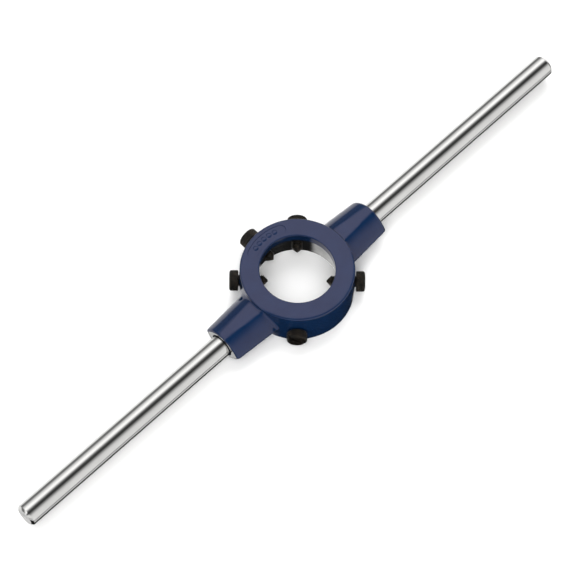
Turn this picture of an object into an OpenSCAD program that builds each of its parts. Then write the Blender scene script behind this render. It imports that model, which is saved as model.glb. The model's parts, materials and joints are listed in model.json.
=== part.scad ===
// Hand die stock for round threading dies: a cast ring with two sockets,
// two screwed-in steel handles and five slotted screws that hold the die.
// Millimetres. The origin is the centre of the ring's open face, which the tool lies on.
// +Z runs up the ring's axis to the shoulder, +X along the handles, +Y to the spreading screw.

/* [Die pocket] */
// Diameter of the die pocket
pocket_d = 38; // [36:0.5:39]
// Depth of the die pocket, from the open face up to the shoulder
pocket_h = 14; // [12:0.5:15]
// Thickness of the shoulder that the die seats against
shoulder_h = 4; // [2:0.25:5]
// Diameter of the opening through the shoulder
opening_d = 32.5; // [28:0.5:34]
// Lead-in chamfer at the pocket's open end
lead_in = 0.5; // [0.2:0.1:1]

/* [Ring] */
// Outer diameter of the ring at its parting line
ring_d = 50; // [48:0.5:56]
// Radius that the casting loses from the parting line to either face
ring_draft = 0.2; // [0:0.05:0.4]
// Rounding of the ring's top outer edge
top_round = 0.7; // [0.5:0.1:1.5]
// Rounding of the opening's top edge
opening_round = 0.5; // [0.2:0.1:1]
// Height of the parting line, which the handles are centred on
mid_h = 8; // [8:0.1:9]

/* [Sockets] */
// Distance from the ring's axis to the end face of a socket
socket_end = 45; // [42:0.5:52]
// Half height of a socket where it leaves the ring
socket_half_h_in = 7.9; // [7:0.05:7.9]
// Half height of a socket at its end face
socket_half_h_out = 7.1; // [6.8:0.1:7.4]
// Radius of a socket's arched sides where it leaves the ring
side_r_in = 14.5; // [14:0.1:15]
// Radius of a socket's arched sides at its end face
side_r_out = 12.9; // [12.6:0.1:13.5]

/* [Handles] */
// Overall length over both handles
overall_l = 315; // [250:5:400]
// Diameter of the handle rods
rod_d = 10; // [9:0.5:10]
// Chamfer at the free end of a rod
rod_chamfer = 1; // [0.5:0.1:2]
// Diameter of a rod's neck, where it enters the socket
neck_d = 9.6; // [8.5:0.1:9.8]
// Length of a rod's neck, and the depth of the socket's plain bore
entry_h = 5; // [3:0.5:8]
// Diameter of the threaded end of a rod
stud_d = 8; // [6:1:8]
// Length of the threaded end of a rod
stud_l = 12; // [8:0.5:13]

/* [Screws] */
// Thread diameter of the screws
screw_d = 5; // [4:0.5:6]
// Diameter of the knurled heads
head_d = 8.9; // [7:0.1:10]
// Thickness of the knurled heads
head_h = 3.9; // [3:0.1:5]
// Length of a screw under its head, with its point
shank_l = 12.65; // [11:0.05:14]
// Diameter of the flat at the tip of the point
tip_d = 0.9; // [0.5:0.1:1.5]
// Width of the driver slot
slot_w = 1.1; // [0.8:0.1:1.5]
// Depth of the driver slot
slot_h = 1.5; // [1:0.1:2]
// Gap from the ring to the heads of the holding screws and the left closing screw
seat_gap = 0.3; // [0.3:0.1:2]
// Gap from the ring to the head of the right closing screw
closing_gap = 1.8; // [0.3:0.1:3]
// Gap from the ring to the head of the spreading screw
spread_gap = 2.3; // [0.3:0.1:3]
// Angle between the spreading screw and a closing screw
screw_step = 45; // [40:1:50]

/* [Size plate] */
// Mid radius of the sunk plate on the shoulder
plate_r = 20.4; // [20:0.1:21]
// Width of the sunk plate
plate_w = 4.6; // [3:0.1:5]
// Angle that the sunk plate spans, between the centres of its round ends
plate_span = 48; // [20:1:60]
// Depth of the sunk plate
plate_h = 0.3; // [0.2:0.05:0.5]
// Number of plain raised pips in the plate
pips = 5; // [1:1:7]

/* [Hidden] */
$fn = 96;
pocket_r = pocket_d / 2;
ring_r = ring_d / 2;
ring_h = pocket_h + shoulder_h;
edge_r = ring_r - ring_draft;
opening_r = opening_d / 2;
// The screws meet the edge of the die at half its thickness.
screw_h = pocket_h / 2;
foot_chamfer = 0.4;
// The centres of the arched sides lie past the socket's middle, across it and up or down.
side_across = 2;
side_beyond = 5.3;
socket_in = 20;
socket_l = socket_end - socket_in;
mouth_w = 0.45;
mouth_l = 2.5;
entry_d = rod_d + 0.3;
thread_run_out = 1;
// Threads are plain cylinders: a rod's thread has this much clearance all round, a screw's this much.
stud_clear = 0.05;
screw_clear = 0.05;
screw_hole_r = screw_d / 2;
head_chamfer = 0.35;
point_angle = 45;
plate_step = 0.2;
pip_r = 1.1;
pip_root = 0.5;
// Length that each cutting tool runs past the metal.
past = 2;

// 2D, the cross-section of the ring from its axis outwards.
module ring_profile() {
    difference() {
        polygon([
            [opening_r, 0],
            [edge_r - foot_chamfer, 0],
            [edge_r, foot_chamfer],
            [ring_r, mid_h],
            [edge_r, ring_h - top_round],
            [edge_r, ring_h],
            [opening_r, ring_h]
        ]);
        translate([opening_r - past, -past]) square([pocket_r - opening_r + past, pocket_h + past]);
        polygon([
            [pocket_r - past, -past],
            [pocket_r + lead_in + past, -past],
            [pocket_r - past, lead_in + past]
        ]);
        corner_cut(edge_r, ring_h, top_round, 1);
        corner_cut(opening_r, ring_h, opening_round, -1);
    }
}

// 2D, what a round of radius r takes off a top corner at x, y. side is 1 on the outside, -1 inside.
module corner_cut(x, y, r, side) {
    translate([x - side * r, y - r]) difference() {
        translate([side > 0 ? 0 : -r - past, 0]) square(r + past);
        circle(r);
    }
}

// A tapered round bar along +X, from x = 0 to x = l.
module taper(r_start, r_end, l) {
    rotate([0, 90, 0]) cylinder(h = l, r1 = r_start, r2 = r_end);
}

// A socket along +X: four arched sides that meet in a corner at the parting line,
// with a flat above and a flat below.
module socket_outside() {
    translate([socket_in, 0, mid_h]) intersection() {
        socket_side(1, 1);
        socket_side(1, -1);
        socket_side(-1, 1);
        socket_side(-1, -1);
        rotate([90, 0, 0]) translate([0, 0, -ring_r]) linear_extrude(2 * ring_r) polygon([
            [0, -socket_half_h_in],
            [socket_l, -socket_half_h_out],
            [socket_l, socket_half_h_out],
            [0, socket_half_h_in]
        ]);
    }
}

module socket_side(across, up) {
    translate([0, across * side_across, up * side_beyond]) taper(side_r_in, side_r_out, socket_l);
}

// The space for a rod: a mouth that narrows, a plain bore and a tapped hole.
module socket_inside() {
    translate([socket_end, 0, mid_h]) mirror([1, 0, 0]) {
        translate([-past, 0, 0])
            taper(entry_d / 2 + mouth_w * (mouth_l + past) / mouth_l, entry_d / 2, mouth_l + past);
        taper(entry_d / 2, entry_d / 2, entry_h);
        taper(stud_d / 2, stud_d / 2, entry_h + stud_l + thread_run_out);
    }
}

module screw_hole(angle) {
    rotate([0, 0, angle]) translate([pocket_r - past, 0, screw_h])
        taper(screw_hole_r, screw_hole_r, ring_r - pocket_r + 2 * past);
}

// The sunk size plate. Its round ends are a little narrower than the plate itself.
module plate_sink() {
    translate([0, 0, ring_h - plate_h]) rotate([0, 0, 90 - plate_span / 2]) {
        rotate_extrude(angle = plate_span) translate([plate_r - plate_w / 2, 0]) square([plate_w, past]);
        for (end = [0, plate_span])
            rotate([0, 0, end]) translate([plate_r, 0, 0]) cylinder(h = past, d = plate_w - plate_step);
    }
}

module plate_pips() {
    for (i = [1 : pips])
        rotate([0, 0, 90 - plate_span / 2 + plate_span * i / (pips + 1)])
            translate([plate_r, 0, ring_h - plate_h - pip_root])
                cylinder(h = plate_h + pip_root, r = pip_r);
}

module body() {
    color("midnightblue") {
        difference() {
            union() {
                rotate_extrude() ring_profile();
                difference() {
                    union() {
                        socket_outside();
                        mirror([1, 0, 0]) socket_outside();
                    }
                    translate([0, 0, -past]) cylinder(h = ring_h + 2 * past, r = pocket_r + lead_in);
                }
            }
            socket_inside();
            mirror([1, 0, 0]) socket_inside();
            for (i = [-3, -1, 0, 1, 3]) screw_hole(90 + i * screw_step);
            plate_sink();
        }
        plate_pips();
    }
}

// A rod along +X, with its neck and its threaded end in the socket.
module handle() {
    color("silver") translate([socket_end, 0, mid_h]) {
        rod_l = overall_l / 2 - socket_end;
        stud_r = stud_d / 2 - stud_clear;
        taper(rod_d / 2, rod_d / 2, rod_l - rod_chamfer);
        translate([rod_l - rod_chamfer, 0, 0])
            taper(rod_d / 2, rod_d / 2 - rod_chamfer, rod_chamfer);
        translate([-entry_h, 0, 0]) taper(neck_d / 2, neck_d / 2, entry_h);
        translate([-entry_h - stud_l, 0, 0]) taper(stud_r, stud_r, stud_l);
    }
}

module handle_left() {
    mirror([1, 0, 0]) handle();
}

module handle_right() {
    handle();
}

// A screw at an angle about the ring's axis. gap is how far its head stands off the ring,
// and turn is where its thread has left the driver slot.
module screw(angle, gap, turn) {
    shank_r = screw_hole_r - screw_clear;
    point_l = (shank_r - tip_d / 2) / tan(point_angle);
    color("dimgray") rotate([0, 0, angle]) translate([ring_r + gap, 0, screw_h]) rotate([turn, 0, 0]) {
        translate([-shank_l, 0, 0]) taper(tip_d / 2, shank_r, point_l);
        translate([point_l - shank_l, 0, 0]) taper(shank_r, shank_r, shank_l - point_l);
        difference() {
            screw_head();
            translate([head_h - slot_h, -slot_w / 2, -head_d])
                cube([slot_h + past, slot_w, 2 * head_d]);
        }
    }
}

module screw_head() {
    rotate([0, 90, 0]) rotate_extrude() polygon([
        [0, 0],
        [head_d / 2 - head_chamfer, 0],
        [head_d / 2, head_chamfer],
        [head_d / 2, head_h - head_chamfer],
        [head_d / 2 - head_chamfer, head_h],
        [0, head_h]
    ]);
}

module spreading_screw() {
    screw(90, spread_gap, 69);
}

module closing_screw_left() {
    screw(90 + screw_step, seat_gap, 75);
}

module closing_screw_right() {
    screw(90 - screw_step, closing_gap, 90);
}

module holding_screw_left() {
    screw(90 + 3 * screw_step, seat_gap, 50);
}

module holding_screw_right() {
    screw(90 - 3 * screw_step, seat_gap, 110);
}

body();
handle_left();
handle_right();
spreading_screw();
closing_screw_left();
closing_screw_right();
holding_screw_left();
holding_screw_right();
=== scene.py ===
"""The looks of a die stock: an enamelled casting, two plated rods and five blackened screws.

Lengths are in metres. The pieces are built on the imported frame, in its own axes: Z up the ring, X along
the rods, Y to the spreading screw, and z = 0 on the open face that the tool lies on.
"""

import json
import math

import bmesh
import bpy
import numpy as np
import openvdb
from bpy.props import FloatProperty, FloatVectorProperty, IntProperty, PointerProperty
from mathutils import Matrix, Vector


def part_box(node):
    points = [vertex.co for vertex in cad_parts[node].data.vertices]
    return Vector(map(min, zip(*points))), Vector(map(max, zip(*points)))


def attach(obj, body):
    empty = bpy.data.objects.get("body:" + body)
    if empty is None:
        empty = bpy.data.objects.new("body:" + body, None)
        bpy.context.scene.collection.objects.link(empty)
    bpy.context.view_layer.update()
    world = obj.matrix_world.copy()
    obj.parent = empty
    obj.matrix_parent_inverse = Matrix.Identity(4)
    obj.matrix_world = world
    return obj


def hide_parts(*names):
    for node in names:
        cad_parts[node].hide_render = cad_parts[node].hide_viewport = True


bl_info = {
    "name": "Die stock",
    "version": (1, 0, 0),
    "blender": (4, 5, 0),
    "location": "3D View > Sidebar > Die stock",
    "description": "Builds a two-handled stock for round threading dies",
    "category": "Object",
}

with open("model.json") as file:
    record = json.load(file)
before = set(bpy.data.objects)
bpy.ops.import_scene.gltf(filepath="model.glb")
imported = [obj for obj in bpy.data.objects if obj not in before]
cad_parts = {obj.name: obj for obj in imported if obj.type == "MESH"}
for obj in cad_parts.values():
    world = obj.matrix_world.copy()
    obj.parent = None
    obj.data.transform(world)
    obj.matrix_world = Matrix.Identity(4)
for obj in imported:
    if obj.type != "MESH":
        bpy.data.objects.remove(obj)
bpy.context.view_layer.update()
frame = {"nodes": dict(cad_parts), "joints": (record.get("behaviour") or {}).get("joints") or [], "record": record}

MM = 0.001
# The casting's material numbers.
ENAMEL, BARE = 0, 1
X_AXIS, Z_AXIS = Vector((1, 0, 0)), Vector((0, 0, 1))
# A turned end closes at this radius instead of at a point.
PIN_R = 0.01 * MM

# What the frame says.
MOUNTS = {m["name"]: m for m in frame["record"]["mounts"]}
BODY_LOW, BODY_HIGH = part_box("body")
ROD_LOW, ROD_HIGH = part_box("handle_right")
RING_R = BODY_HIGH.y
RING_H = BODY_HIGH.z
SOCKET_END = BODY_HIGH.x
POCKET_R = MOUNTS["die_pocket"]["dims"]["r_mm"] * MM
POCKET_H = MOUNTS["die_pocket"]["dims"]["length_mm"] * MM
OPENING_R = MOUNTS["work_opening"]["dims"]["r_mm"] * MM
ROD_R = (ROD_HIGH.z - ROD_LOW.z) / 2
MID_H = (ROD_HIGH.z + ROD_LOW.z) / 2
SCREW_H = POCKET_H / 2

# The size plate, sunk in the shoulder: its mid radius, half its span and its depth.
PLATE_R = 20.4 * MM
PLATE_HALF_SPAN = math.radians(24)
PLATE_DEPTH = 0.3 * MM

# Where each slot's long side has stopped, in degrees about the screw.
SLOT_TURNS = {
    "spreading_screw": 69,
    "closing_screw_left": 75,
    "closing_screw_right": 90,
    "holding_screw_left": 50,
    "holding_screw_right": 110,
}


# ---------------------------------------------------------------- settings


def length(name, description, millimetres, **limits):
    """A length setting with its default in millimetres."""
    return FloatProperty(
        name=name, description=description, default=millimetres * MM, unit="LENGTH", precision=5, **limits
    )


def angle_setting(name, description, degrees):
    """An angle setting with its default in degrees."""
    return FloatProperty(
        name=name, description=description, default=math.radians(degrees), subtype="ANGLE"
    )


def colour(name, description, default):
    """A colour setting."""
    return FloatVectorProperty(
        name=name, description=description, default=default, size=3, subtype="COLOR", min=0, max=1
    )


class CastingSettings(bpy.types.PropertyGroup):
    grain: length("Grain", "Spacing of the mesh on the cast surfaces", 0.36, min=0.0002)
    fillet: length("Fillet", "Radius in the corner between a socket and the ring", 1.3, min=0)
    top_round: length("Top round", "Radius of the ring's upper outer edge", 0.7, min=0)
    foot_round: length("Foot round", "Radius of the ring's lower outer edge", 0.4, min=0)
    draft: length("Draft", "How far the ring's wall leans in to its faces", 0.2, min=0)
    rim_round: length("Rim round", "Radius of the enamelled rim at a socket's end", 1.4, min=0)
    edge_round: length("Edge round", "Radius of the long edges of a socket", 0.15, min=0)
    flash: length("Flash", "Height of the ground-off flash along the parting line", 0.11, min=0)
    ripple: length("Ripple", "Height of the slow waves in the cast surface", 0.02, min=0)
    enamel: colour("Enamel", "Colour of the enamel", (0.0021, 0.0126, 0.0425))
    enamel_thin: colour("Thin enamel", "Colour of the enamel where it is thin", (0.0032, 0.0163, 0.052))
    iron: colour("Bare iron", "Colour of the machined iron", (0.60, 0.60, 0.59))


class HandleSettings(bpy.types.PropertyGroup):
    chamfer: length("Chamfer", "Chamfer at the free end of a rod", 1.0, min=0)
    edge: length("Edge", "Radius that polishing leaves on an edge", 0.18, min=0)
    neck: length("Neck", "Length of the turned-down neck in the socket", 5.0, min=0)
    neck_radius: length("Neck radius", "Radius of the neck", 4.8, min=0)
    thread_radius: length("Thread radius", "Outer radius of the thread", 3.95, min=0)
    pitch: length("Pitch", "Pitch of the thread", 1.25, min=0.0001)
    thread_depth: length("Thread depth", "Depth of the thread", 0.7, min=0)
    sides: IntProperty(name="Sides", description="Faces round a rod", default=128, min=12)
    plate: colour("Plating", "Colour of the plated steel", (0.83, 0.825, 0.81))


class ScrewSettings(bpy.types.PropertyGroup):
    head_radius: length("Head radius", "Outer radius of the head over the knurl", 4.45, min=0)
    head_height: length("Head height", "Thickness of the head", 3.9, min=0)
    head_round: length("Head round", "Radius of the edge under the head", 0.45, min=0)
    crown_round: length("Crown round", "Radius of the edge round the head's slotted face", 0.95, min=0)
    knurl_depth: length("Knurl depth", "Depth of the diamond knurl", 0.3, min=0)
    knurls: IntProperty(name="Knurls", description="Diamonds round the head", default=22, min=8)
    slot_width: length("Slot width", "Width of the driver slot", 1.1, min=0)
    slot_depth: length("Slot depth", "Depth of the driver slot", 1.5, min=0)
    shank_radius: length("Shank radius", "Outer radius of the thread", 2.45, min=0)
    tip_radius: length("Tip radius", "Radius of the flat at the tip of the point", 0.45, min=0)
    pitch: length("Pitch", "Pitch of the thread", 0.8, min=0.0001)
    thread_depth: length("Thread depth", "Depth of the thread", 0.4, min=0)
    oxide: colour("Oxide", "Colour of the blackened steel", (0.012, 0.0115, 0.010))
    worn: colour("Worn oxide", "Colour of the oxide where it is rubbed", (0.050, 0.038, 0.027))


class StageSettings(bpy.types.PropertyGroup):
    floor: colour("Floor", "Colour of the floor", (0.92, 0.92, 0.915))
    lens: FloatProperty(name="Lens", description="Focal length", default=163.784, unit="CAMERA")
    heading: angle_setting("Heading", "Camera's heading from +Y to +X", 46.04)
    elevation: angle_setting("Elevation", "Camera's height over the floor", 61.81)
    roll: angle_setting("Roll", "Camera's turn about its view", 1.40)
    distance: length("Distance", "From the camera to the point that it aims at", 1132.6)
    aim: FloatVectorProperty(
        name="Aim", description="Point in the middle of the view",
        default=(-0.00292, 0.00252, 0.001), size=3, subtype="TRANSLATION",
    )
    front: FloatProperty(
        name="Front light", description="Brightness of a white surface that faces it", default=0.95, min=0
    )
    rear: FloatProperty(
        name="Rear light", description="Brightness of a white surface that faces it", default=0.6, min=0
    )
    light_elevation: angle_setting("Lights' elevation", "Height of both lights over the floor", 56)


class DieStockSettings(bpy.types.PropertyGroup):
    casting: PointerProperty(type=CastingSettings, name="Casting", description="Sizes and colours")
    handles: PointerProperty(type=HandleSettings, name="Handles", description="Sizes and colours")
    screws: PointerProperty(type=ScrewSettings, name="Screws", description="Sizes and colours")
    stage: PointerProperty(type=StageSettings, name="Stage", description="Floor, lights and camera")


# ---------------------------------------------------------------- meshes


def add_object(name, data):
    """A new object in the scene."""
    obj = bpy.data.objects.new(name, data)
    bpy.context.scene.collection.objects.link(obj)
    return obj


def mesh_from(name, points, faces, finishes=None):
    """A mesh object whose faces all look outwards. finishes is one material number per face."""
    mesh = bpy.data.meshes.new(name)
    mesh.from_pydata(points, [], faces)
    if finishes is not None:
        mesh.polygons.foreach_set("material_index", finishes)
    form = bmesh.new()
    form.from_mesh(mesh)
    bmesh.ops.recalc_face_normals(form, faces=form.faces)
    form.to_mesh(mesh)
    form.free()
    return add_object(name, mesh)


def turned(name, stations, sides, place=Matrix(), finishes=None):
    """A closed solid turned about its own Z, then put in place.

    Each station is (height, radius), and the radius is a number or one number per side. The first and last
    are closed with a flat cap. finishes is one material number for each band between two stations.
    """
    angle = np.arange(sides) * 2 * math.pi / sides
    rings = []
    for height, radius in stations:
        radius = np.broadcast_to(radius, sides)
        rings.append(np.stack([radius * np.cos(angle), radius * np.sin(angle), np.full(sides, height)], 1))
    middles = np.array([[0, 0, stations[0][0]], [0, 0, stations[-1][0]]])
    points = np.concatenate([*rings, middles])
    points = points @ np.array(place.to_3x3()).T + np.array(place.translation)
    first, last = len(points) - 2, len(points) - 1
    faces, marks = [], []
    for band in range(len(stations) - 1):
        for side in range(sides):
            after = (side + 1) % sides
            low, high = band * sides, (band + 1) * sides
            faces.append((low + side, low + after, high + after, high + side))
            marks.append(finishes[band] if finishes else 0)
    for side in range(sides):
        after = (side + 1) % sides
        faces.append((first, after, side))
        marks.append(marks[0])
    for side in range(sides):
        after = (side + 1) % sides
        faces.append((last, last - 1 - sides + side, last - 1 - sides + after))
        marks.append(finishes[-1] if finishes else 0)
    return mesh_from(name, points.tolist(), faces, marks)


def settle(obj):
    """Turns the object's modifiers into plain mesh."""
    evaluated = obj.evaluated_get(bpy.context.evaluated_depsgraph_get())
    mesh = bpy.data.meshes.new_from_object(evaluated)
    before = obj.data
    obj.modifiers.clear()
    obj.data = mesh
    bpy.data.meshes.remove(before)
    mesh.name = obj.name


def combine(obj, tool, operation):
    """Cuts the tool from the object, or joins it on, and deletes the tool."""
    step = obj.modifiers.new(operation, "BOOLEAN")
    step.object = tool
    step.operation = operation
    step.solver = "MANIFOLD"
    faces_before = len(obj.data.polygons)
    settle(obj)
    if len(obj.data.polygons) in (0, faces_before):
        raise RuntimeError(f"{tool.name} left no mark on {obj.name}")
    mesh = tool.data
    bpy.data.objects.remove(tool)
    bpy.data.meshes.remove(mesh)


def crisp(obj, angle, fine_angle=None, fine=None):
    """Smooth shading, with crisp edges where faces meet at more than the angle.

    fine_angle and fine are given together: that angle then holds for the edges of bare faces, and for
    edges whose ends are both fine(point).
    """
    form = bmesh.new()
    form.from_mesh(obj.data)
    for face in form.faces:
        face.smooth = True
    for edge in form.edges:
        if len(edge.link_faces) == 2:
            precise = fine_angle is not None and (
                any(face.material_index == BARE for face in edge.link_faces)
                or all(fine(vert.co) for vert in edge.verts)
            )
            edge.smooth = edge.calc_face_angle() < (fine_angle if precise else angle)
    form.to_mesh(obj.data)
    form.free()


def arc(centre_h, centre_r, radius, start, end, steps):
    """Stations on an arc. Angles are in degrees, 0 outwards and 90 up."""
    turn = np.radians(np.linspace(start, end, steps + 1))
    return [(centre_h + radius * math.sin(a), centre_r + radius * math.cos(a)) for a in turn]


def along(direction, distance, height, turn=0.0):
    """Places local Z along a level direction, at a distance from the ring's axis, and turns about it."""
    basis = direction.to_track_quat("Z", "Y").to_matrix().to_4x4()
    spot = Matrix.Translation(direction * distance + Z_AXIS * height)
    return spot @ basis @ Matrix.Rotation(turn, 4, "Z")


# ---------------------------------------------------------------- materials


def add_material(name):
    """A new material, its node tree and its Principled shader."""
    material = bpy.data.materials.new(name)
    material.use_nodes = True
    return material, material.node_tree, material.node_tree.nodes["Principled BSDF"]


def add_node(tree, kind, inputs=None, **values):
    """A node with its properties and its inputs set. An input takes a value or another node's output."""
    node = tree.nodes.new("ShaderNode" + kind)
    for key, value in values.items():
        setattr(node, key, value)
    for key, value in (inputs or {}).items():
        if isinstance(value, bpy.types.NodeSocket):
            tree.links.new(value, node.inputs[key])
        else:
            node.inputs[key].default_value = value
    return node


def arithmetic(tree, operation, *values):
    """One step of arithmetic on numbers or node outputs."""
    return add_node(tree, "Math", dict(enumerate(values)), operation=operation).outputs["Value"]


def noise(tree, vector, size, detail=3.0, roughness=0.5):
    """Noise with features of that size, in metres."""
    sockets = {"Vector": vector, "Scale": 1 / size, "Detail": detail, "Roughness": roughness}
    return add_node(tree, "TexNoise", sockets).outputs["Fac"]


def stretched(tree, scale):
    """The piece's own coordinates, scaled along each axis."""
    place = add_node(tree, "TexCoord").outputs["Object"]
    return add_node(tree, "Mapping", {"Vector": place, "Scale": scale}).outputs["Vector"]


def spread(tree, value, low, high):
    """Maps the middle of a noise to the range from low to high."""
    sockets = {"Value": value, "From Min": 0.3, "From Max": 0.7, "To Min": low, "To Max": high}
    return add_node(tree, "MapRange", sockets).outputs["Result"]


def tinted(tree, amount, first, second):
    """A colour between the first and the second."""
    mix = add_node(tree, "Mix", {"Factor": amount}, data_type="RGBA")
    mix.inputs["A"].default_value = (*first, 1)
    mix.inputs["B"].default_value = (*second, 1)
    return mix.outputs["Result"]


def bumped(tree, shader, layers):
    """Bumps from (height socket, depth in metres) layers, one on top of the other."""
    normal = None
    for height, depth in layers:
        sockets = {"Height": height, "Distance": depth, "Strength": 1.0}
        if normal:
            sockets["Normal"] = normal
        normal = add_node(tree, "Bump", sockets).outputs["Normal"]
    tree.links.new(normal, shader.inputs["Normal"])


def enamel_material(c):
    """Dark gloss enamel on a casting: a little thicker and thinner, with a faint orange peel."""
    material, tree, shader = add_material("blue_enamel")
    cloud_size, fleck_size, peel_size, sag_size = 9 * MM, 0.9 * MM, 1.4 * MM, 5 * MM
    peel_depth, sag_depth = 0.02 * MM, 0.03 * MM
    place = stretched(tree, (1, 1, 1))
    cloud = noise(tree, place, cloud_size, detail=4, roughness=0.6)
    fleck = noise(tree, place, fleck_size, detail=2)
    amount = spread(tree, cloud, 0.0, 1.0)
    tree.links.new(tinted(tree, amount, c.enamel, c.enamel_thin), shader.inputs["Base Color"])
    tree.links.new(spread(tree, fleck, 0.07, 0.12), shader.inputs["Roughness"])
    shader.inputs["IOR"].default_value = 1.54
    shader.inputs["Specular Tint"].default_value = (1.0, 0.84, 1.0, 1.0)
    peel = noise(tree, place, peel_size, detail=1)
    sag = noise(tree, place, sag_size, detail=1)
    bumped(tree, shader, [(peel, peel_depth), (sag, sag_depth)])
    return material


def machined_material(c):
    """Bare turned iron, whose tool marks ring the Z axis."""
    material, tree, shader = add_material("bored_iron")
    mark_width, mark_depth, stain_size, stain_shade = 0.22 * MM, 0.012 * MM, 4 * MM, 0.72
    place = stretched(tree, (1, 1, 1))
    flat = stretched(tree, (1, 1, 0))
    reach = add_node(tree, "VectorMath", {0: flat}, operation="LENGTH").outputs["Value"]
    height = add_node(tree, "SeparateXYZ", {"Vector": place}).outputs["Z"]
    sockets = {"W": arithmetic(tree, "ADD", reach, height), "Scale": 1 / mark_width, "Detail": 3.0}
    rings = add_node(tree, "TexNoise", sockets, noise_dimensions="1D").outputs["Fac"]
    stain = spread(tree, noise(tree, place, stain_size, detail=4, roughness=0.6), 0, 1)
    dull = tuple(stain_shade * v for v in c.iron)
    tree.links.new(tinted(tree, stain, c.iron, dull), shader.inputs["Base Color"])
    tree.links.new(spread(tree, rings, 0.07, 0.15), shader.inputs["Roughness"])
    shader.inputs["Metallic"].default_value = 1.0
    bumped(tree, shader, [(rings, mark_depth)])
    return material


def plated_material(h):
    """Bright plated steel rod with the faint lengthwise lines of drawing and polishing."""
    material, tree, shader = add_material("bright_steel")
    line_width, line_depth, cloud_size, cloud_shade = 0.25 * MM, 0.0015 * MM, 6 * MM, 0.9
    lines = noise(tree, stretched(tree, (0.02, 1, 1)), line_width, detail=3, roughness=0.6)
    cloud = noise(tree, stretched(tree, (0.3, 1, 1)), cloud_size, detail=4, roughness=0.6)
    dull = tuple(cloud_shade * v for v in h.plate)
    tree.links.new(tinted(tree, spread(tree, cloud, 0, 1), h.plate, dull), shader.inputs["Base Color"])
    tree.links.new(spread(tree, lines, 0.09, 0.17), shader.inputs["Roughness"])
    shader.inputs["Metallic"].default_value = 1.0
    bumped(tree, shader, [(lines, line_depth)])
    return material


def oxide_material(s):
    """Black oxide on turned steel, rubbed brown here and there."""
    material, tree, shader = add_material("black_oxide")
    rub_size, grit_size, grit_depth = 1.8 * MM, 0.2 * MM, 0.01 * MM
    place = stretched(tree, (1, 1, 1))
    rubbed = spread(tree, noise(tree, place, rub_size, detail=5, roughness=0.65), -0.4, 0.9)
    grit = noise(tree, place, grit_size, detail=2)
    tree.links.new(tinted(tree, rubbed, s.oxide, s.worn), shader.inputs["Base Color"])
    tree.links.new(spread(tree, grit, 0.2, 0.34), shader.inputs["Roughness"])
    shader.inputs["Metallic"].default_value = 0.7
    bumped(tree, shader, [(grit, grit_depth)])
    return material


# ---------------------------------------------------------------- casting


def round_common(a, b, radius):
    """What two solids have in common, with the edge between them rounded."""
    corner = np.hypot(np.maximum(a + radius, 0), np.maximum(b + radius, 0))
    return np.minimum(np.maximum(a, b), -radius) + corner


def round_join(a, b, radius):
    """Two solids joined, with the corner between them filled."""
    corner = np.hypot(np.maximum(radius - a, 0), np.maximum(radius - b, 0))
    return np.maximum(np.minimum(a, b), radius) - corner


def ring_field(c, x, y, z):
    """Distance to the solid ring, below zero inside."""
    lean = c.draft * np.abs(z - MID_H) / (RING_H / 2)
    wall = np.hypot(x, y) - RING_R + lean
    return round_common(round_common(wall, z - RING_H, c.top_round), -z, c.foot_round)


def socket_field(c, x, y, z):
    """Distance to both sockets: four arched sides between two flats, closing in to the end."""
    root, end = 20 * MM, SOCKET_END
    side_r_root, side_r_end = 14.5 * MM, 12.9 * MM
    half_h_root, half_h_end = 7.9 * MM, 7.1 * MM
    centre_across, centre_up, beyond = 2 * MM, 5.3 * MM, 0.1 * MM
    share = (np.abs(x) - root) / (end - root)
    side_r = side_r_root + share * (side_r_end - side_r_root)
    half_h = half_h_root + share * (half_h_end - half_h_root)
    rise = z - MID_H
    solid = round_common(rise - half_h, -rise - half_h, 0)
    for across in (-1, 1):
        for up in (-1, 1):
            side = np.hypot(y - across * centre_across, rise - up * centre_up) - side_r
            solid = round_common(solid, side, c.edge_round)
    # The face itself is cut later, so the rim is rounded a little beyond it.
    return round_common(solid, np.abs(x) - end - beyond, c.rim_round)


def waves(x, y, z, size, seed):
    """A smooth pattern between about -1 and 1 with waves of that size."""
    draw = np.random.default_rng(seed)
    count, shortest, longest = 6, 0.7, 1.6
    total = 0
    for _ in range(count):
        heading = draw.normal(size=3)
        heading *= 2 * math.pi / (size * draw.uniform(shortest, longest) * np.linalg.norm(heading))
        phase = draw.uniform(0, 2 * math.pi)
        total = total + np.sin(x * heading[0] + y * heading[1] + z * heading[2] + phase)
    return total / (count / 2)


def rough_casting(c):
    """The casting before any machining, meshed from its distance field."""
    margin = 3 * c.grain
    low, high = BODY_LOW - Vector.Fill(3, margin), BODY_HIGH + Vector.Fill(3, margin)
    # One row of cells has the parting line in its middle.
    low.z = MID_H - (math.ceil((MID_H - low.z) / c.grain) + 0.5) * c.grain
    axes = [np.arange(low[i], high[i], c.grain) for i in range(3)]
    x, y, z = np.meshgrid(*axes, indexing="ij", sparse=True)
    field = round_join(ring_field(c, x, y, z), socket_field(c, x, y, z), c.fillet)
    flash_half_width, flash_waves, ripple_waves = 0.5 * MM, 9 * MM, 11 * MM
    ridge = np.clip(1 - np.abs(z - MID_H) / flash_half_width, 0, 1)
    field = field - c.flash * ridge * (0.6 + 0.4 * waves(x, y, z, flash_waves, 3))
    field = field - c.ripple * waves(x, y, z, ripple_waves, 5)
    field = np.maximum(field, -z)
    field = np.maximum(field, z - RING_H)
    grid = openvdb.FloatGrid(background=float(field.max() / c.grain))
    grid.copyFromArray(np.ascontiguousarray(field / c.grain, dtype=np.float32))
    points, faces = grid.convertToQuads(isovalue=0.0)
    points = points * c.grain + np.array(low)
    return mesh_from("casting", points.tolist(), faces.tolist())


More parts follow.
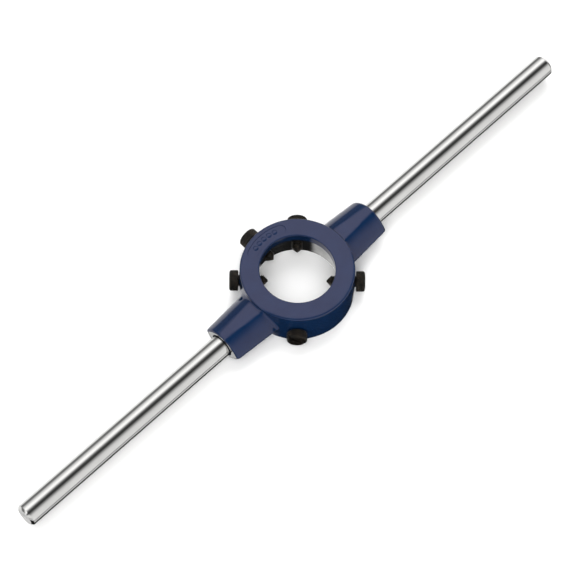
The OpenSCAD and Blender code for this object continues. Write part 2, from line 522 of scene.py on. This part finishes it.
def pocket_cutter():
    """Takes out the pocket, its lead-in, the seat and the opening with its rounded edge."""
    lead_in, lip, past = 0.5 * MM, 0.5 * MM, 1 * MM
    # The rounded lip ends just above the shoulder, so it meets it at a clean edge.
    lift = 0.004 * MM
    stations = [
        (-past, POCKET_R + lead_in + past),
        (lead_in, POCKET_R),
        (POCKET_H, POCKET_R),
        (POCKET_H, OPENING_R),
        *arc(RING_H - lip + lift, OPENING_R + lip, lip, 180, 90, 6),
        (RING_H + past, OPENING_R + lip),
    ]
    finishes = [BARE, BARE, BARE] + [ENAMEL] * (len(stations) - 4)
    return turned("pocket_cutter", stations, sides=224, finishes=finishes)


def socket_cutter(side):
    """Faces a socket's end, and takes out the mouth, the plain bore and the tapped hole."""
    entry_r, entry_h, mouth_w, mouth_h = 5.15 * MM, 5 * MM, 0.45 * MM, 2.5 * MM
    tap_r, tap_h, face_r, past = 4 * MM, 18 * MM, 14 * MM, 3 * MM
    stations = [
        (-tap_h - tap_r / 2, PIN_R),
        (-tap_h, tap_r),
        (-entry_h, tap_r),
        (-entry_h, entry_r),
        (-mouth_h, entry_r),
        (0, entry_r + mouth_w),
        (0, face_r),
        (past, face_r),
    ]
    # The mouth's band is dark enamel, not bare iron: painted shade that darkens the gap round the rod beyond the
    # shade its depth gives.
    finishes = [BARE, BARE, BARE, BARE, ENAMEL, BARE, BARE]
    return turned("socket_cutter", stations, 96, along(X_AXIS * side, SOCKET_END, MID_H), finishes)


def screw_hole_cutter(direction):
    """Drills one screw hole through the wall, with a small countersink."""
    hole_r, sink, past = 2.5 * MM, 0.35 * MM, 1 * MM
    stations = [
        (POCKET_R - past, hole_r),
        (RING_R - sink, hole_r),
        (RING_R + sink, hole_r + 2 * sink),
    ]
    return turned("screw_hole_cutter", stations, 48, along(direction, 0, SCREW_H), [BARE] * 2)


def plate_outline(half_width, height):
    """The size plate's outline at one height: two arcs about the ring's axis and two round ends."""
    steps, end_steps = 40, 16
    upright = math.pi / 2
    first, last = upright - PLATE_HALF_SPAN, upright + PLATE_HALF_SPAN

    def arc_points(reach, start, end):
        turns = np.linspace(start, end, steps)
        return [(reach * math.cos(turn), reach * math.sin(turn)) for turn in turns]

    def end_points(end, facing):
        x, y = PLATE_R * math.cos(end), PLATE_R * math.sin(end)
        turns = np.linspace(0, math.pi, end_steps)[1:-1] + facing
        return [(x + half_width * math.cos(turn), y + half_width * math.sin(turn)) for turn in turns]

    outline = arc_points(PLATE_R + half_width, first, last) + end_points(last, last)
    outline += arc_points(PLATE_R - half_width, last, first) + end_points(first, first + math.pi)
    return [(x, y, height) for x, y in outline]


def prism(name, low, high):
    """A closed solid between two outlines with the same number of points."""
    count = len(low)
    faces = [tuple(range(count)), tuple(range(2 * count - 1, count - 1, -1))]
    for i in range(count):
        j = (i + 1) % count
        faces.append((i, j, count + j, count + i))
    return mesh_from(name, low + high, faces)


def plate_cutter():
    """Sinks the size plate. Its walls lean out as a pattern's would."""
    half_width, lean, past = 2.2 * MM, 0.15 * MM, 0.3 * MM
    floor = plate_outline(half_width, RING_H - PLATE_DEPTH)
    mouth = plate_outline(half_width + lean * (PLATE_DEPTH + past) / PLATE_DEPTH, RING_H + past)
    return prism("plate_cutter", floor, mouth)


def on_plate(point):
    """True in the band of the shoulder that holds the size plate."""
    reach, slack = 2.6 * MM, 0.01 * MM
    return point.z > RING_H - PLATE_DEPTH - slack and abs(point.xy.length - PLATE_R) < reach


def plate_pips():
    """Five low domes that stand in the size plate."""
    count, radius, root = 5, 1.1 * MM, 0.5 * MM
    stations = [
        (-PLATE_DEPTH - root, radius * 1.1),
        (-PLATE_DEPTH, radius * 1.1),
        (-0.4 * PLATE_DEPTH, radius * 0.9),
        (-0.12 * PLATE_DEPTH, radius * 0.72),
        (0, radius * 0.4),
    ]
    for i in range(count):
        angle = math.pi / 2 - PLATE_HALF_SPAN + 2 * PLATE_HALF_SPAN * (i + 1) / (count + 1)
        spot = Vector((math.cos(angle), math.sin(angle), 0)) * PLATE_R + Z_AXIS * RING_H
        yield turned("pip", stations, 32, Matrix.Translation(spot))


# ---------------------------------------------------------------- rods and screws


def thread_relief(angle, height, pitch, depth, start, end):
    """How far a thread cuts in at each angle, at one height. It runs out over one pitch at both ends."""
    crest = 0.12
    phase = (height / pitch - angle / (2 * math.pi)) % 1
    shape = np.clip((np.abs(2 * phase - 1) - crest) / (1 - 2 * crest), 0, 1)
    fade = np.clip(min(height - start, end - height) / pitch, 0, 1)
    return depth * (1 - shape) * fade


def rod_stations(h, reach):
    """A rod from its stud to its free end, measured outwards from the socket's end face."""
    angle = np.arange(h.sides) * 2 * math.pi / h.sides
    stud_start, stud_end = ROD_LOW.x - SOCKET_END, -h.neck
    lead, per_pitch, rod_steps = 1 * MM, 10, 40
    stations = [(stud_start, PIN_R), (stud_start, h.thread_radius - lead)]
    for height in np.arange(stud_start + lead, stud_end, h.pitch / per_pitch):
        cut = thread_relief(angle, height, h.pitch, h.thread_depth, stud_start, stud_end)
        stations.append((height, h.thread_radius - cut))
    stations += [(stud_end, h.thread_radius), (stud_end, h.neck_radius), (0, h.neck_radius)]
    stations += arc(h.edge, ROD_R - h.edge, h.edge, -90, 0, 3)
    middle = np.linspace(h.edge, reach - h.chamfer, rod_steps)[1:-1]
    stations += [(height, ROD_R) for height in middle]
    stations += arc(reach - h.chamfer - h.edge / 2, ROD_R - h.edge, h.edge, 0, 45, 3)
    stations += arc(reach - h.edge, ROD_R - h.chamfer - h.edge / 2, h.edge, 45, 90, 3)
    dish_r, dish = 1.0 * MM, 0.35 * MM
    stations += [(reach, dish_r), (reach - dish, 0.3 * dish_r), (reach - dish, PIN_R)]
    return stations


def screw_shank(s, place, under_head, tip):
    """The threaded shank with its point, from the tip up to the underside of the head."""
    sides, per_pitch = 40, 8
    angle = np.arange(sides) * 2 * math.pi / sides
    cone_end = tip + s.shank_radius - s.tip_radius
    nose, blunt, overlap = 0.25 * MM, 0.1 * MM, 0.5 * MM
    stations = [(tip, PIN_R), (tip, s.tip_radius - blunt), (tip + blunt, s.tip_radius)]
    stations.append((cone_end - nose, s.shank_radius - nose))
    for height in np.arange(cone_end, under_head, s.pitch / per_pitch):
        cut = thread_relief(angle, height, s.pitch, s.thread_depth, cone_end - s.pitch / 2, under_head)
        stations.append((height, s.shank_radius - cut))
    stations.append((under_head + overlap, s.shank_radius))
    return turned("shank", stations, sides, place)


def screw_head(s, place, under_head):
    """The diamond-knurled head, with rounded edges."""
    sides, rows, groove_sharpness, inset = s.knurls * 4, 22, 1.6, 0.1 * MM
    angle = np.arange(sides) * 2 * math.pi / sides
    top = under_head + s.head_height
    stations = [(under_head, PIN_R), (under_head, s.head_radius - s.head_round)]
    slant = s.knurls / (2 * math.pi * s.head_radius)

    def grooves(height, sense):
        phase = (s.knurls * angle / (2 * math.pi) + sense * slant * height) % 1
        return np.maximum(1 - groove_sharpness * np.abs(2 * phase - 1), 0)

    for height in np.linspace(under_head, top, rows):
        into, edge = min((height - under_head, s.head_round), (top - height, s.crown_round))
        shape = edge - math.sqrt(max(edge**2 - max(edge - into, 0) ** 2, 0))
        depth = s.knurl_depth * min(1, into / edge)
        cut = depth * np.maximum(grooves(height, -1), grooves(height, 1))
        stations.append((height, s.head_radius - shape - cut))
    stations += [(top, s.head_radius - s.crown_round - inset), (top, PIN_R)]
    return turned("head", stations, sides, place)


def slot_cutter(s, place, top):
    """Saws the driver slot across the head."""
    reach, past, bevel = 1.5 * s.head_radius, 1 * MM, 0.12 * MM
    half, floor = s.slot_width / 2, top - s.slot_depth
    outline = [
        (-half - past / 2, top + past),
        (-half, top - bevel),
        (-half, floor + bevel),
        (-half + bevel, floor),
        (half - bevel, floor),
        (half, floor + bevel),
        (half, top - bevel),
        (half + past / 2, top + past),
    ]
    ends = [[place @ Vector((across, side * reach, up)) for across, up in outline] for side in (-1, 1)]
    return prism("slot_cutter", *ends)


# ---------------------------------------------------------------- operators


class DIESTOCK_OT_casting(bpy.types.Operator):
    """Builds the enamelled casting and machines it."""

    bl_idname = "diestock.casting"
    bl_label = "Casting"

    def execute(self, context):
        c = context.scene.die_stock.casting
        casting = rough_casting(c)
        casting.data.materials.append(enamel_material(c))
        casting.data.materials.append(machined_material(c))
        combine(casting, pocket_cutter(), "DIFFERENCE")
        for side in (-1, 1):
            combine(casting, socket_cutter(side), "DIFFERENCE")
        for joint in frame["joints"]:
            combine(casting, screw_hole_cutter(Vector(joint["axis"])), "DIFFERENCE")
        combine(casting, plate_cutter(), "DIFFERENCE")
        for pip in plate_pips():
            combine(casting, pip, "UNION")
        crisp(casting, math.radians(50), fine_angle=math.radians(25), fine=on_plate)
        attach(casting, "stock")
        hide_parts("body")
        return {"FINISHED"}


class DIESTOCK_OT_handles(bpy.types.Operator):
    """Turns the two rods."""

    bl_idname = "diestock.handles"
    bl_label = "Handles"

    def execute(self, context):
        h = context.scene.die_stock.handles
        steel = plated_material(h)
        stations = rod_stations(h, ROD_HIGH.x - SOCKET_END)
        for name, side in (("left", -1), ("right", 1)):
            rod = turned(f"rod_{name}", stations, h.sides, along(X_AXIS * side, SOCKET_END, MID_H))
            rod.data.materials.append(steel)
            crisp(rod, math.radians(35))
            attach(rod, "stock")
            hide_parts(f"handle_{name}")
        return {"FINISHED"}


class DIESTOCK_OT_screws(bpy.types.Operator):
    """Turns, knurls and slots the five screws."""

    bl_idname = "diestock.screws"
    bl_label = "Screws"

    def execute(self, context):
        s = context.scene.die_stock.screws
        oxide = oxide_material(s)
        for joint in frame["joints"]:
            node = joint["child"]
            outwards = Vector(joint["axis"])
            reach = [outwards.dot(v.co) for v in frame["nodes"][node].data.vertices]
            tip, top = min(reach), max(reach)
            under_head = top - s.head_height
            place = along(outwards, 0, SCREW_H, math.radians(SLOT_TURNS[node]))
            screw = screw_head(s, place, under_head)
            screw.name = "knurled_" + node
            screw.data.materials.append(oxide)
            combine(screw, screw_shank(s, place, under_head, tip), "UNION")
            combine(screw, slot_cutter(s, place, top), "DIFFERENCE")
            crisp(screw, math.radians(32))
            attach(screw, node)
            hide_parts(node)
        return {"FINISHED"}


def bearing(heading, elevation):
    """The direction with that heading from +Y to +X, and that height over the floor."""
    level = math.cos(elevation)
    return Vector((math.sin(heading) * level, math.cos(heading) * level, math.sin(elevation)))


def look_at(obj, aim, roll=0.0):
    """Turns a camera or light to face a point."""
    away = obj.location - aim
    facing = away.to_track_quat("Z", "Y").to_matrix()
    obj.rotation_euler = (facing @ Matrix.Rotation(roll, 3, "Z")).to_euler()


def add_soft_light(name, heading, elevation, brightness):
    """A wide soft light over one side of the floor. It lights the enamel without showing in it."""
    distance, width = 1.4, 1.2
    light = bpy.data.lights.new(name, "AREA")
    light.shape = "DISK"
    light.size = width
    light.energy = brightness * (math.pi * distance) ** 2
    obj = add_object(name, light)
    obj.location = bearing(heading, elevation) * distance
    look_at(obj, Vector((0, 0, 0)))
    obj.visible_camera = False
    obj.visible_glossy = False


class DIESTOCK_OT_stage(bpy.types.Operator):
    """Lays the floor, and sets the lights and the camera."""

    bl_idname = "diestock.stage"
    bl_label = "Stage"

    def execute(self, context):
        s = context.scene.die_stock.stage
        scene = context.scene
        scene.view_settings.view_transform = "Standard"
        add_floor(s)
        add_surroundings(scene)
        add_soft_light("front_light", s.heading + math.pi, s.light_elevation, s.front)
        add_soft_light("rear_light", s.heading, s.light_elevation, s.rear)
        add_camera(scene, s)
        return {"FINISHED"}


def add_floor(s):
    """A wide pale floor of matt paper, a shade darker here and there."""
    reach, cloud_size, cloud_shade = 4, 0.15, 0.985
    corners = [(-reach, -reach, 0), (reach, -reach, 0), (reach, reach, 0), (-reach, reach, 0)]
    floor = mesh_from("floor", corners, [(0, 1, 2, 3)])
    material, tree, shader = add_material("floor_paper")
    place = stretched(tree, (1, 1, 1))
    shade = tuple(cloud_shade * v for v in s.floor)
    cloud = noise(tree, place, cloud_size, detail=2)
    tree.links.new(tinted(tree, cloud, s.floor, shade), shader.inputs["Base Color"])
    shader.inputs["Roughness"].default_value = 0.9
    shader.inputs["Specular IOR Level"].default_value = 0.1
    floor.data.materials.append(material)
    floor.visible_glossy = False


# How bright the studio is, by the angle about the rods from the rear: 90 is overhead and 180 the front.
# The long softboxes at the rear and front leave dark gaps overhead, underneath and at the floor's edges.
STRIPS = (
    (-180, 0.86),
    (-156, 0.83),
    (-150, 0.20),
    (-144, 0.20),
    (-138, 0.85),
    (-130, 0.80),
    (-123, 0.015),
    (-82, 0.015),
    (-76, 0.50),
    (-50, 0.90),
    (-13, 0.95),
    (-7, 0.20),
    (20, 0.18),
    (28, 0.52),
    (37, 0.72),
    (46, 0.98),
    (57, 1.21),
    (70, 1.28),
    (81, 0.65),
    (92, 0.12),
    (106, 0.03),
    (116, 0.06),
    (128, 0.29),
    (140, 0.62),
    (152, 0.80),
    (180, 0.86),
)


def add_surroundings(scene):
    """Long softboxes on both sides of the rods, as the world's light."""
    swing = 0.5
    world = bpy.data.worlds.new("surroundings")
    scene.world = world
    world.use_nodes = True
    tree = world.node_tree
    back = tree.nodes["Background"]
    toward = add_node(tree, "SeparateXYZ", {"Vector": add_node(tree, "TexCoord").outputs["Generated"]})
    below = arithmetic(tree, "MINIMUM", toward.outputs["Z"], 0)
    # Towards -X and below the floor's level, the strips swing to the front.
    across = arithmetic(tree, "MULTIPLY", arithmetic(tree, "MINIMUM", toward.outputs["X"], 0), below)
    rearward = arithmetic(tree, "MULTIPLY_ADD", across, swing, toward.outputs["Y"])
    angle = arithmetic(tree, "ARCTAN2", toward.outputs["Z"], rearward)
    sockets = {"Value": angle, "From Min": -math.pi, "From Max": math.pi}
    ramp = add_node(tree, "ValToRGB", {"Fac": add_node(tree, "MapRange", sockets).outputs["Result"]})
    stops = ramp.color_ramp.elements
    brightest = max(radiance for _, radiance in STRIPS)
    for _ in STRIPS[2:]:
        stops.new(0.5)
    for stop, (turn, radiance) in zip(stops, STRIPS):
        stop.position = (turn + 180) / 360
        stop.color = (*[radiance / brightest] * 3, 1)
    tree.links.new(ramp.outputs["Color"], back.inputs["Color"])
    back.inputs["Strength"].default_value = brightest


def add_camera(scene, s):
    """The camera, which looks along the heading and down at the aim."""
    camera = add_object("camera", bpy.data.cameras.new("camera"))
    camera.data.lens = s.lens
    aim = Vector(s.aim)
    camera.location = aim - bearing(s.heading, -s.elevation) * s.distance
    look_at(camera, aim, s.roll)
    camera.data.clip_end = 20
    scene.camera = camera


class DIESTOCK_PT_panel(bpy.types.Panel):
    """Lists the settings and the steps of the die stock."""

    bl_idname = "DIESTOCK_PT_panel"
    bl_label = "Die stock"
    bl_space_type = "VIEW_3D"
    bl_region_type = "UI"
    bl_category = "Die stock"

    def draw(self, context):
        settings = context.scene.die_stock
        for group, step in PANEL_ROWS:
            box = self.layout.box()
            box.operator(step)
            for name in getattr(settings, group).__annotations__:
                box.prop(getattr(settings, group), name)


PANEL_ROWS = (
    ("stage", "diestock.stage"),
    ("casting", "diestock.casting"),
    ("handles", "diestock.handles"),
    ("screws", "diestock.screws"),
)

CLASSES = (
    CastingSettings,
    HandleSettings,
    ScrewSettings,
    StageSettings,
    DieStockSettings,
    DIESTOCK_OT_stage,
    DIESTOCK_OT_casting,
    DIESTOCK_OT_handles,
    DIESTOCK_OT_screws,
    DIESTOCK_PT_panel,
)


def register():
    """Adds the settings, the operators and the panel."""
    for cls in CLASSES:
        bpy.utils.register_class(cls)
    bpy.types.Scene.die_stock = PointerProperty(type=DieStockSettings)


def unregister():
    """Takes them away again."""
    del bpy.types.Scene.die_stock
    for cls in reversed(CLASSES):
        bpy.utils.unregister_class(cls)


def main():
    """Builds the stage and every piece, in order."""
    register()
    bpy.ops.diestock.stage()
    bpy.ops.diestock.casting()
    bpy.ops.diestock.handles()
    bpy.ops.diestock.screws()


if __name__ == "__main__":
    main()
